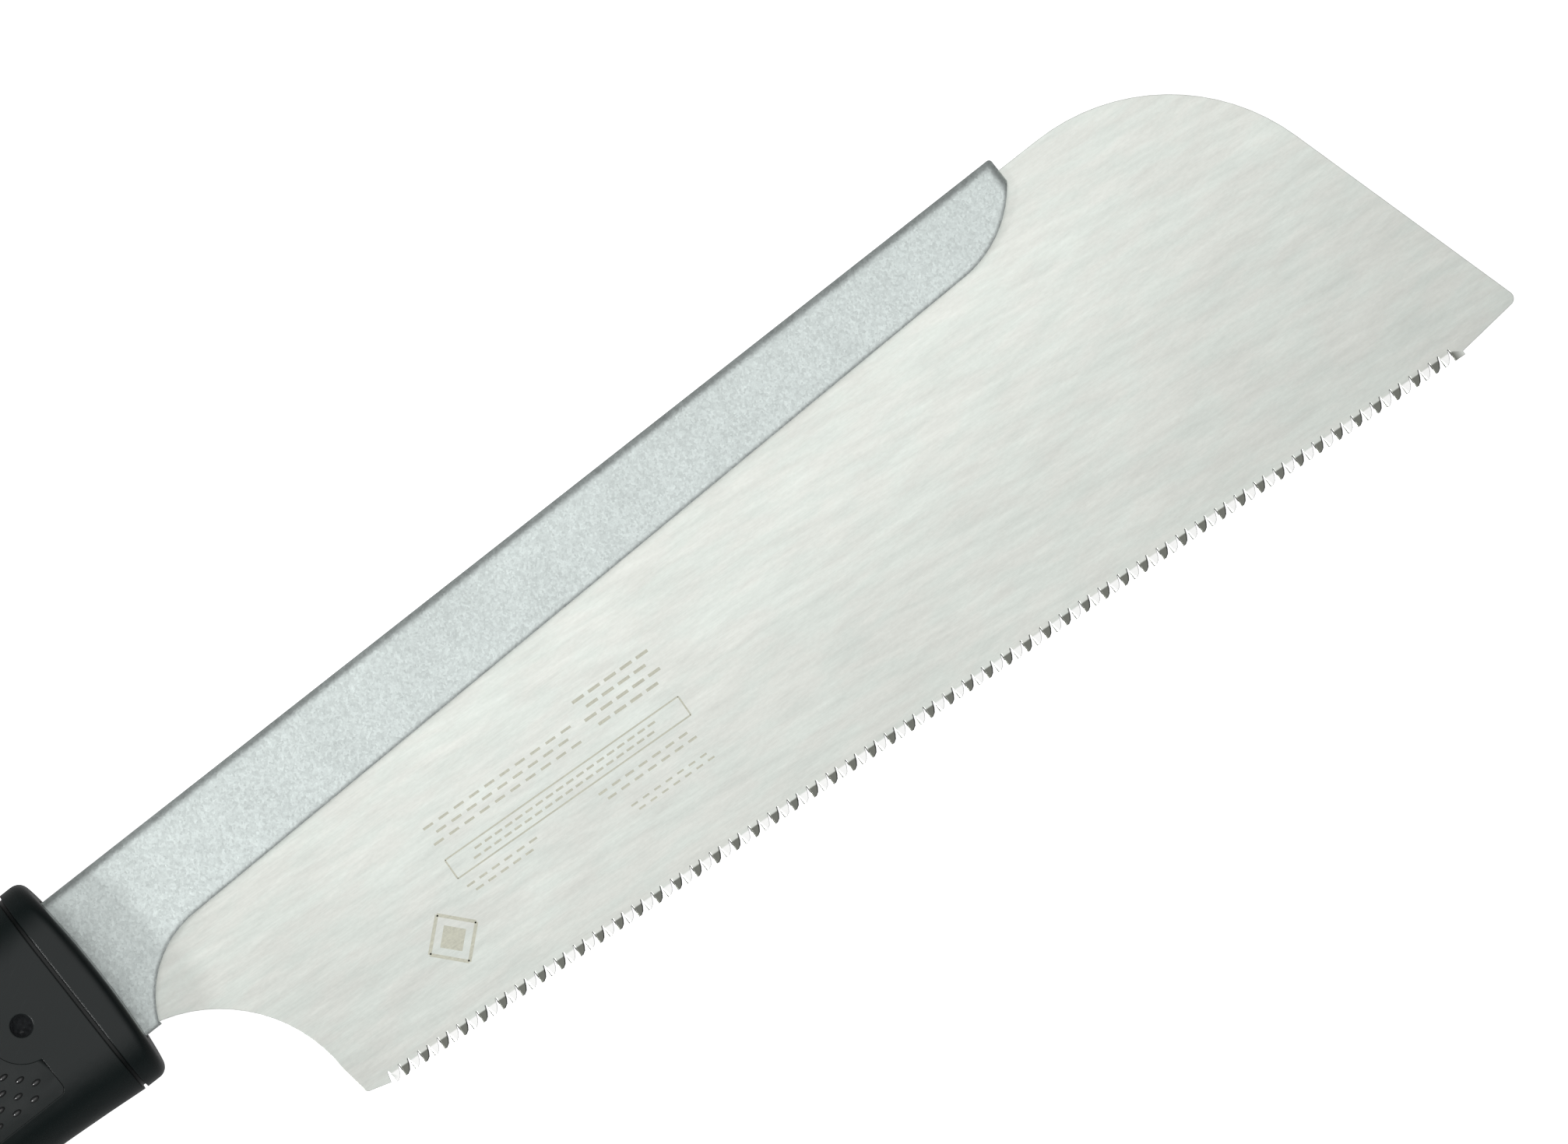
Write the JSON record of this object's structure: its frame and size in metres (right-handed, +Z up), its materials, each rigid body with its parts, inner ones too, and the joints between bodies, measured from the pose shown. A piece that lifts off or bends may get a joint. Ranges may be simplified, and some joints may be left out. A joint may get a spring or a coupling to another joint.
{
  "type": "back saw",
  "caption": "Pull saw with a thin toothed blade crimped in a folded steel back, held by a clamping screw in a straight plastic handle with soft grip pads.",
  "frame": {"origin": "under the middle of the saw's box, on the surface that it lies on", "axes": "+X along the saw from the butt to the blade's tip, +Y in the blade's plane towards the back, +Z up, square to the blade"},
  "size_m": [0.3463, 0.0616, 0.022],
  "materials": {
    "blade_steel": "brushed along the blade",
    "back_paint": "sparkling silver enamel",
    "handle_plastic": "glossy moulded",
    "grip_elastomer": "moulded with raised nubs",
    "zinc_steel": "zinc plated",
    "black_steel": "black oxide",
    "nickel": "nickel plated"
  },
  "bodies": {
    "handle": {"front_collar": "handle_plastic", "left_shell": "handle_plastic", "right_shell": "handle_plastic", "left_grip_pad": "grip_elastomer", "right_grip_pad": "grip_elastomer", "tang_holder": "zinc_steel", "holder_pin": "zinc_steel", "lock_nut": "zinc_steel", "shell_screws": "black_steel", "end_cap": "handle_plastic", "hang_eyelet": "nickel"},
    "blade_unit": {"blade": "blade_steel", "folded_back": "back_paint"},
    "lock_washer": {"lock_washer": "black_steel"},
    "lock_screw": {"lock_screw": "black_steel"}
  },
  "joints": [
    {"name": "blade_pull", "type": "slide", "parent": "handle", "child": "blade_unit", "axis": [1, 0, 0], "range_m": [0, 0.045]},
    {"name": "lock_lift", "type": "slide", "parent": "handle", "child": "lock_washer", "axis": [0, 0, 1], "range_m": [0, 0.001]},
    {"name": "lock_turn", "type": "hinge", "parent": "lock_washer", "child": "lock_screw", "pos_m": [-0.03533, 0.01588, 0.011], "axis": [0, 0, 1], "range_deg": [0, 720]}
  ],
  "couplings": [
    {"joint": "lock_turn", "follows": "lock_lift", "rad_per_m": 12566}
  ]
}
